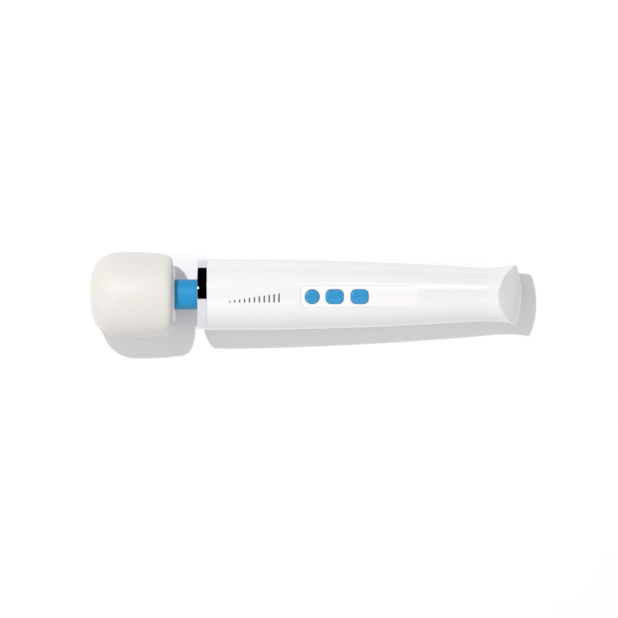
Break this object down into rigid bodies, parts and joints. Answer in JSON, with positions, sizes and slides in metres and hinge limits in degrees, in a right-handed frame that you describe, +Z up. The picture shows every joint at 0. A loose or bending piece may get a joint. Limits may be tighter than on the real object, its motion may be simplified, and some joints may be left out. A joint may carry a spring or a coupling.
{
  "type": "handheld wand massager",
  "caption": "Cordless wand massager with a cushioned vibrating head on a flexible neck, a flared handle with a chrome ring and a panel of push buttons.",
  "frame": {"origin": "under the middle of the wand's length, level with the lowest point of the head", "axes": "+X along the wand from the head to the nose of the handle, +Z up through the buttons"},
  "size_m": [0.25, 0.049, 0.0491],
  "materials": {
    "cushion": "satin moulded silicone",
    "shell_white": "gloss",
    "inner_white": "moulded",
    "panel_white": "semi-gloss",
    "neck_blue": "satin",
    "button_blue": "satin",
    "chrome": "mirror",
    "steel": "bright",
    "bronze": "sintered",
    "copper": "enamelled wire",
    "magnet": "matt",
    "black_plastic": "fine texture",
    "black_rubber": "matt",
    "board": "solder mask",
    "cell_wrap": "shrink wrapped",
    "lens": "clear",
    "lead_red": "matt"
  },
  "bodies": {
    "handle": {"neck_collar": "inner_white", "chrome_ring": "chrome", "upper_shell": "shell_white", "lower_shell": "shell_white", "shell_screws": "steel", "motor_can": "steel", "motor_magnets": "magnet", "motor_end_bell": "black_plastic", "motor_brushes": "copper", "motor_front_bush": "bronze", "motor_rear_bush": "bronze", "motor_isolators": "black_rubber", "control_panel": "panel_white", "indicator_lenses": "lens", "circuit_board": "board", "board_screws": "steel", "board_parts": "black_plastic", "tact_switches": "black_plastic", "indicator_leds": "lens", "battery_cell": "cell_wrap", "battery_holder": "inner_white", "battery_strap": "black_rubber", "battery_contacts": "steel", "charging_socket": "black_plastic", "motor_leads": "lead_red", "battery_leads": "lead_red", "socket_leads": "black_rubber"},
    "rotor": {"motor_shaft": "steel", "motor_armature": "steel", "motor_windings": "copper", "motor_commutator": "copper", "shaft_coupling": "bronze", "flexible_shaft": "steel"},
    "neck": {"neck_sleeve": "neck_blue", "neck_spring": "steel"},
    "head": {"head_cushion": "cushion", "head_shell": "inner_white", "head_cap": "shell_white", "head_screws": "steel", "front_bearing_race": "steel", "front_bearing_balls": "steel", "rear_bearing_race": "steel", "rear_bearing_balls": "steel"},
    "eccentric": {"eccentric_shaft": "steel", "eccentric_weight": "steel", "front_bearing_cone": "steel", "rear_bearing_cone": "steel"},
    "power_key": {"power_button": "button_blue", "power_plunger": "inner_white"},
    "minus_key": {"minus_button": "button_blue", "minus_plunger": "inner_white"},
    "plus_key": {"plus_button": "button_blue", "plus_plunger": "inner_white"}
  },
  "joints": [
    {"name": "neck_pitch", "type": "hinge", "parent": "handle", "child": "neck", "pos_m": [-0.066, 0, 0.02455], "axis": [0, 1, 0], "range_deg": [-12, 12], "stiffness_Nm_per_rad": 2, "deforming": ["neck_sleeve", "neck_spring", "flexible_shaft"]},
    {"name": "neck_yaw", "type": "hinge", "parent": "neck", "child": "head", "pos_m": [-0.072, 0, 0.02455], "axis": [0, 0, 1], "range_deg": [-12, 12], "stiffness_Nm_per_rad": 2, "deforming": ["neck_sleeve", "neck_spring", "flexible_shaft"]},
    {"name": "motor_spin", "type": "hinge", "parent": "handle", "child": "rotor", "pos_m": [-0.029, 0, 0.02455], "axis": [1, 0, 0], "continuous": true},
    {"name": "eccentric_spin", "type": "hinge", "parent": "head", "child": "eccentric", "pos_m": [-0.099, 0, 0.02455], "axis": [1, 0, 0], "continuous": true},
    {"name": "power_press", "type": "slide", "parent": "handle", "child": "power_key", "axis": [0, 0, -1], "range_m": [0, 0.0005], "stiffness_N_per_m": 1500},
    {"name": "minus_press", "type": "slide", "parent": "handle", "child": "minus_key", "axis": [0, 0, -1], "range_m": [0, 0.0005], "stiffness_N_per_m": 1500},
    {"name": "plus_press", "type": "slide", "parent": "handle", "child": "plus_key", "axis": [0, 0, -1], "range_m": [0, 0.0005], "stiffness_N_per_m": 1500}
  ],
  "couplings": [
    {"joint": "eccentric_spin", "follows": "motor_spin", "ratio": 1}
  ]
}
